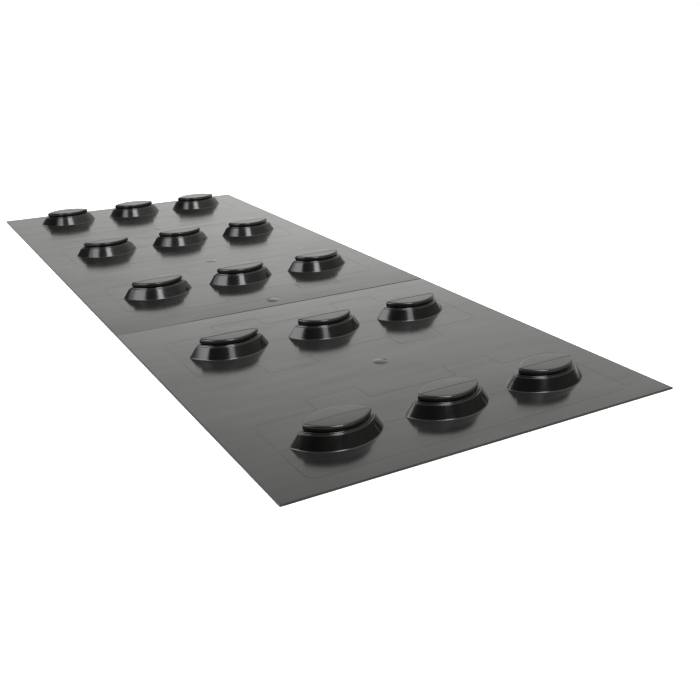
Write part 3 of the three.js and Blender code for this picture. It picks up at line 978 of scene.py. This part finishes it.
# How bright the room is in reflections, as stops of (value, brightness), which are multiplied together.
# A direction's rise is the sum of its X, Y and Z, each times its weight: it is low towards the front
# and high behind and overhead. The other two follow the direction's X and its Z.
RISE_WEIGHTS = (0.1, 0.45, 1.0)
BACKDROP_RISE = (
    (-0.3, 0.85), (-0.1, 0.75), (0.02, 0.5), (0.12, 0.1), (0.32, 0.22),
    (0.4, 0.36), (0.46, 0.6), (0.52, 0.9), (0.6, 1.0),
)
BACKDROP_ACROSS = (
    (-0.95, 2.0), (-0.86, 0.3), (-0.7, 0.15), (-0.3, 0.5), (0.1, 0.82),
    (0.3, 1.27), (0.42, 1.4), (0.55, 1.33), (0.66, 1.18), (1, 1.0),
)
BACKDROP_UP = ((0.2, 0.92), (0.25, 0.98), (0.36, 1.0), (0.43, 0.93), (0.5, 0.7), (0.6, 0.85), (0.95, 0.9))
# A colour ramp holds 0 to 1, so the stops are divided by this going in and multiplied by it coming out.
RAMP_TOP = 2.0

# The room's own colour, as the mat mirrors it and as the camera sees it.
ROOM_MIRRORED = (1, 1, 0.97, 1)
ROOM_SEEN = (1, 1, 1, 1)


def build_world():
    """A plain white room to the camera, with the brightness above in reflections."""
    world = bpy.data.worlds.new("studio")
    bpy.context.scene.world = world
    world.use_nodes = True
    tree = world.node_tree
    tree.nodes.clear()

    def node(kind):
        return tree.nodes.new(kind)

    def combine(operation, first, second):
        return math_node(tree, operation, first, second)

    def brightness(value, stops):
        """Brightness that follows stops of (value, brightness)."""
        ramp = node("ShaderNodeValToRGB")
        elements = ramp.color_ramp.elements
        while len(elements) < len(stops):
            elements.new(1.0)
        for element, (place, level) in zip(elements, stops):
            element.position = (place + 1) / 2
            element.color = (level / RAMP_TOP,) * 3 + (1,)
        shifted = combine("MULTIPLY", combine("ADD", value, 1.0), 0.5)
        tree.links.new(shifted, ramp.inputs[0])
        return combine("MULTIPLY", ramp.outputs[0], RAMP_TOP)

    direction = node("ShaderNodeTexCoord").outputs["Generated"]
    parts = node("ShaderNodeSeparateXYZ")
    tree.links.new(direction, parts.inputs[0])
    slope = [combine("MULTIPLY", parts.outputs[i], RISE_WEIGHTS[i]) for i in range(3)]
    height = combine("ADD", combine("ADD", slope[0], slope[1]), slope[2])
    across = brightness(parts.outputs["X"], BACKDROP_ACROSS)
    up = brightness(parts.outputs["Z"], BACKDROP_UP)
    strength = combine("MULTIPLY", brightness(height, BACKDROP_RISE), combine("MULTIPLY", across, up))
    mirrored = node("ShaderNodeBackground")
    mirrored.inputs["Color"].default_value = ROOM_MIRRORED
    tree.links.new(strength, mirrored.inputs["Strength"])
    backdrop = node("ShaderNodeBackground")
    backdrop.inputs["Color"].default_value = ROOM_SEEN
    backdrop.inputs["Strength"].default_value = 1.0
    mix = node("ShaderNodeMixShader")
    tree.links.new(node("ShaderNodeLightPath").outputs["Is Camera Ray"], mix.inputs[0])
    tree.links.new(mirrored.outputs[0], mix.inputs[1])
    tree.links.new(backdrop.outputs[0], mix.inputs[2])
    output = node("ShaderNodeOutputWorld")
    tree.links.new(mix.outputs[0], output.inputs["Surface"])


def softbox(name, centre, target, size_x, size_y, radiance):
    """A rectangular lamp, aimed at target, that the camera doesn't see directly."""
    data = bpy.data.lights.new(name, "AREA")
    data.shape = "RECTANGLE"
    data.size, data.size_y = size_x, size_y
    data.energy = radiance * math.pi * size_x * size_y
    lamp = bpy.data.objects.new(name, data)
    bpy.context.scene.collection.objects.link(lamp)
    lamp.location = centre
    lamp.rotation_euler = (Vector(target) - Vector(centre)).to_track_quat("-Z", "Y").to_euler()
    lamp.visible_camera = False
    return lamp


# Each softbox: its centre, what it is aimed at, its width and height in metres, and its radiance.
SOFTBOXES = {
    "side_panel": ((-0.8, -0.4, 1.13), (0, -0.4, 1.13), 0.56, 1.5, 5.3),
    "side_panel_edge": ((-0.8, -0.02, 1.05), (0, -0.02, 1.05), 0.2, 1.35, 2.4),
    "long_box": ((0.36, -2.4, 3.0), (0.36, -2.4, 0), 1.0, 2.3, 9.2),
    "long_box_end": ((0.36, -4.05, 3.0), (0.36, -4.05, 0), 1.0, 1.0, 4.0),
    "back_box": ((-1.5, 1.9, 1.6), (0, 0.3, 0), 1.5, 1.0, 5.0),
}
FILL_STRENGTH = 3.6
FILL_ANGLE = math.radians(150)


def build_lights():
    for name, values in SOFTBOXES.items():
        softbox(name, *values)
    data = bpy.data.lights.new("fill", "SUN")
    data.energy = FILL_STRENGTH
    data.angle = FILL_ANGLE
    fill = bpy.data.objects.new("fill", data)
    bpy.context.scene.collection.objects.link(fill)
    fill.visible_glossy = False


# The floor's colour, as the camera sees it and as the mat reflects it.
FLOOR_SEEN = (0.92, 0.92, 0.92)
FLOOR_MIRRORED = (0.4, 0.4, 0.4)
FLOOR_HALF = 30.0
FLOOR_GAP = 0.2 * MM
HANGING_ROOM = 30 * MM


def build_floor():
    """A plain white floor just under the mat, which is lowered when the near panel folds down.

    It clears the mat when the panel lies flat, hangs straight down or is folded under. At angles in
    between it is too high, and the end of the panel goes through it.
    """
    corners = [(FLOOR_HALF * x, FLOOR_HALF * y, 0) for x, y in ((-1, -1), (1, -1), (1, 1), (-1, 1))]
    floor = add_mesh("floor", corners, [(0, 1, 2, 3)])
    white = Shader("floor_white")
    white.set(Roughness=0.9)
    direct = white.node("ShaderNodeLightPath").outputs["Is Camera Ray"]
    white.feed("Base Color", white.ramp(direct, FLOOR_MIRRORED, FLOOR_SEEN, 0.0, 1.0))
    floor.data.materials.append(white.material)
    rest = CAD_BOX[0].z - FLOOR_GAP
    near_length = FOLD_Y - NEAR_COVER[0].y
    hanging = rest - near_length - HANGING_ROOM
    folded = JOINT["pos_m"][2] * 2 - CAD_BOX[1].z - FLOOR_GAP
    curve = floor.driver_add("location", 2)
    curve.driver.type = "AVERAGE"
    variable = curve.driver.variables.new()
    variable.type = "TRANSFORMS"
    variable.targets[0].id = frame["bodies"]["near_panel"]
    variable.targets[0].transform_type = "LOC_Y"
    variable.targets[0].transform_space = "WORLD_SPACE"
    for modifier in list(curve.modifiers):
        curve.modifiers.remove(modifier)
    # The near body's origin moves from Y = 0 at rest to twice FOLD_Y when the panel is folded under.
    for place, height in ((2 * FOLD_Y, folded), (FOLD_Y, hanging), (0.0, rest)):
        curve.keyframe_points.insert(place, height).interpolation = "LINEAR"


# The camera, at the photograph's viewing angle: its place, turn, downward tilt and roll.
CAMERA_PLACE = (-0.5678, -1.3813, 0.4469)
CAMERA_AZIMUTH = math.radians(-29.39)
CAMERA_DROP = math.radians(21.27)
CAMERA_ROLL = math.radians(-0.93)
CAMERA_LENS = 46.14


def build_camera():
    data = bpy.data.cameras.new("camera")
    data.sensor_width = 36
    data.lens = CAMERA_LENS
    data.clip_start, data.clip_end = 0.01, 100
    camera = bpy.data.objects.new("camera", data)
    bpy.context.scene.collection.objects.link(camera)
    turn = Matrix.Rotation(CAMERA_AZIMUTH, 4, "Z")
    tip = Matrix.Rotation(math.pi / 2 - CAMERA_DROP, 4, "X")
    roll = Matrix.Rotation(CAMERA_ROLL, 4, "Z")
    camera.matrix_world = Matrix.Translation(CAMERA_PLACE) @ turn @ tip @ roll
    bpy.context.scene.camera = camera


build_object()
build_world()
build_lights()
build_floor()
build_camera()
bpy.context.scene.view_settings.view_transform = "Standard"
